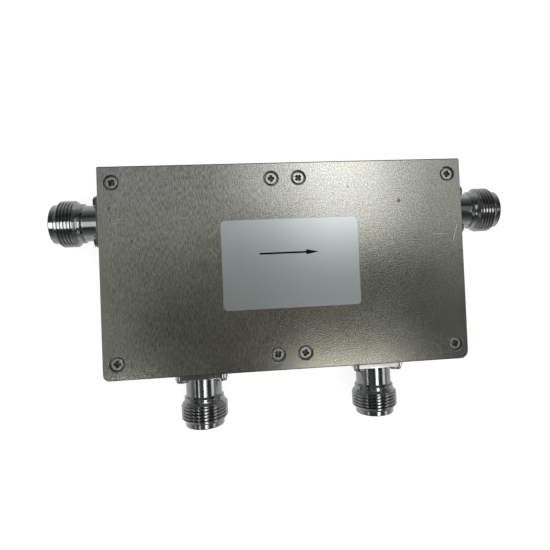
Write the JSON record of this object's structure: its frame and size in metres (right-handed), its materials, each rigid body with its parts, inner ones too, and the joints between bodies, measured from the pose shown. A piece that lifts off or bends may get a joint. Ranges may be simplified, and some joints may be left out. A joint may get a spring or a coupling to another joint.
{
  "type": "dual junction isolator",
  "caption": "Flat nickel-plated block with ferrite junctions inside and type N panel sockets on its sides and lower edge; it lets signal power through one way only.",
  "frame": {"origin": "centre of the block's underside", "axes": "+X along the block to the right, +Y up the label face away from the lower sockets, +Z out of the cover with the label"},
  "size_m": [0.1556, 0.0876, 0.0257],
  "materials": {
    "frosted_nickel": "frosted nickel plate on steel",
    "bright_nickel": "turned and nickel plated",
    "steel_screw": "bright",
    "gold_plate": "gold plated",
    "ptfe": "matte white",
    "label": "silver film",
    "silvered_copper": "silver plated copper",
    "magnet_ceramic": "matte",
    "pole_steel": "satin",
    "ferrite": "polished",
    "film": "clear amber",
    "capacitor_ceramic": "satin"
  },
  "bodies": {
    "root": {"housing": "frosted_nickel", "top_cover": "frosted_nickel", "cover_screws": "steel_screw", "label": "label", "link_strip": "silvered_copper", "link_support": "ptfe", "left_connector_shell": "bright_nickel", "left_connector_insulator": "ptfe", "left_connector_contact": "gold_plate", "left_connector_flange_screws": "steel_screw", "right_connector_shell": "bright_nickel", "right_connector_insulator": "ptfe", "right_connector_contact": "gold_plate", "right_connector_flange_screws": "steel_screw", "lower_left_connector_shell": "bright_nickel", "lower_left_connector_insulator": "ptfe", "lower_left_connector_contact": "gold_plate", "lower_left_connector_flange_screws": "steel_screw", "lower_right_connector_shell": "bright_nickel", "lower_right_connector_insulator": "ptfe", "lower_right_connector_contact": "gold_plate", "lower_right_connector_flange_screws": "steel_screw", "left_junction_lower_magnet": "magnet_ceramic", "left_junction_upper_magnet": "magnet_ceramic", "left_junction_lower_pole": "pole_steel", "left_junction_upper_pole": "pole_steel", "left_junction_lower_ferrite": "ferrite", "left_junction_upper_ferrite": "ferrite", "left_junction_lower_film": "film", "left_junction_upper_film": "film", "right_junction_lower_magnet": "magnet_ceramic", "right_junction_upper_magnet": "magnet_ceramic", "right_junction_lower_pole": "pole_steel", "right_junction_upper_pole": "pole_steel", "right_junction_lower_ferrite": "ferrite", "right_junction_upper_ferrite": "ferrite", "right_junction_lower_film": "film", "right_junction_upper_film": "film", "left_junction_lower_port_strip": "silvered_copper", "left_junction_lower_port_capacitor": "capacitor_ceramic", "left_junction_side_port_strip": "silvered_copper", "left_junction_side_port_capacitor": "capacitor_ceramic", "left_junction_link_port_strip": "silvered_copper", "left_junction_link_port_capacitor": "capacitor_ceramic", "right_junction_lower_port_strip": "silvered_copper", "right_junction_lower_port_capacitor": "capacitor_ceramic", "right_junction_side_port_strip": "silvered_copper", "right_junction_side_port_capacitor": "capacitor_ceramic", "right_junction_link_port_strip": "silvered_copper", "right_junction_link_port_capacitor": "capacitor_ceramic"}
  },
  "joints": []
}
